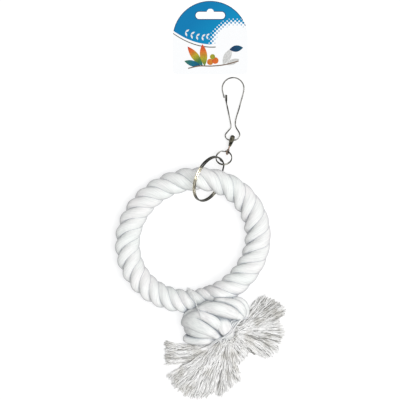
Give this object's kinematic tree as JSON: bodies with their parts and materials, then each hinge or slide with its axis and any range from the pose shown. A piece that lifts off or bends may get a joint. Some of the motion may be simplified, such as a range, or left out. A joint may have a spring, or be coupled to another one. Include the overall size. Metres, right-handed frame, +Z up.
{
  "type": "bird rope toy",
  "caption": "Cage bird toy lying flat: a laid cotton rope bent into a ring and knotted, with a frayed tassel, split rings, a swivel snap hook and a plain header card.",
  "frame": {"origin": "middle of the toy's plan, on the surface that it lies on", "axes": "+Z up from that surface, +Y from the tassel to the header card, +X to the right seen from above"},
  "size_m": [0.1854, 0.4337, 0.055],
  "materials": {
    "cotton_rope": "undyed white cotton, soft and matt, laid in three strands",
    "frayed_cotton": "undyed cotton yarns, unlaid and slightly wavy",
    "ring_wire": "nickel plate with a faint brassy cast",
    "hook_wire": "bright nickel plate",
    "printed_card": "coated card, printed blue and white, half gloss"
  },
  "bodies": {
    "rope": {"ring_strand_1": "cotton_rope", "ring_strand_2": "cotton_rope", "ring_strand_3": "cotton_rope", "knot_strand_1": "cotton_rope", "knot_strand_2": "cotton_rope", "knot_strand_3": "cotton_rope", "knot_core": "cotton_rope", "tassel_right_upper": "frayed_cotton", "tassel_right_lower": "frayed_cotton", "tassel_stub": "frayed_cotton", "tassel_lower": "frayed_cotton", "tassel_lower_left": "frayed_cotton", "tassel_left": "frayed_cotton"},
    "large_ring": {"large_split_ring": "ring_wire"},
    "small_ring": {"small_split_ring": "hook_wire"},
    "eye": {"swivel_eye": "ring_wire"},
    "clip": {"swivel_clip": "hook_wire"},
    "hook": {"hook_frame": "hook_wire"},
    "gate": {"hook_gate": "hook_wire"},
    "card": {"header_card": "printed_card"}
  },
  "joints": [
    {"name": "large_ring_swing", "type": "hinge", "parent": "rope", "child": "large_ring", "pos_m": [0.0068, 0.0223, 0.018], "axis": [0.9907, -0.136, 0], "range_deg": [0, 90]},
    {"name": "small_ring_swing", "type": "hinge", "parent": "large_ring", "child": "small_ring", "pos_m": [0.02322, 0.04128, 0.01348], "axis": [-0.241, 0.6021, 0.7611], "range_deg": [-60, 60]},
    {"name": "eye_swing", "type": "hinge", "parent": "small_ring", "child": "eye", "pos_m": [0.02911, 0.05247, 0.00661], "axis": [-0.8717, 0.3979, -0.2859], "range_deg": [-60, 60]},
    {"name": "swivel_turn", "type": "hinge", "parent": "eye", "child": "clip", "pos_m": [0.02911, 0.05247, 0.00661], "axis": [0.317, 0.9409, -0.119], "continuous": true},
    {"name": "hook_tilt", "type": "hinge", "parent": "clip", "child": "hook", "pos_m": [0.03348, 0.06521, 0.00444], "axis": [1, 0, 0], "range_deg": [-60, 60]},
    {"name": "gate_open", "type": "hinge", "parent": "hook", "child": "gate", "pos_m": [0.03268, 0.08074, 0.00366], "axis": [0, -0.05, -0.9987], "range_deg": [0, 18], "stiffness_Nm_per_rad": 0.5, "springref_deg": -5.73},
    {"name": "card_lift", "type": "slide", "parent": "rope", "child": "card", "axis": [0, 0, 1], "range_m": [0, 0.03]}
  ]
}
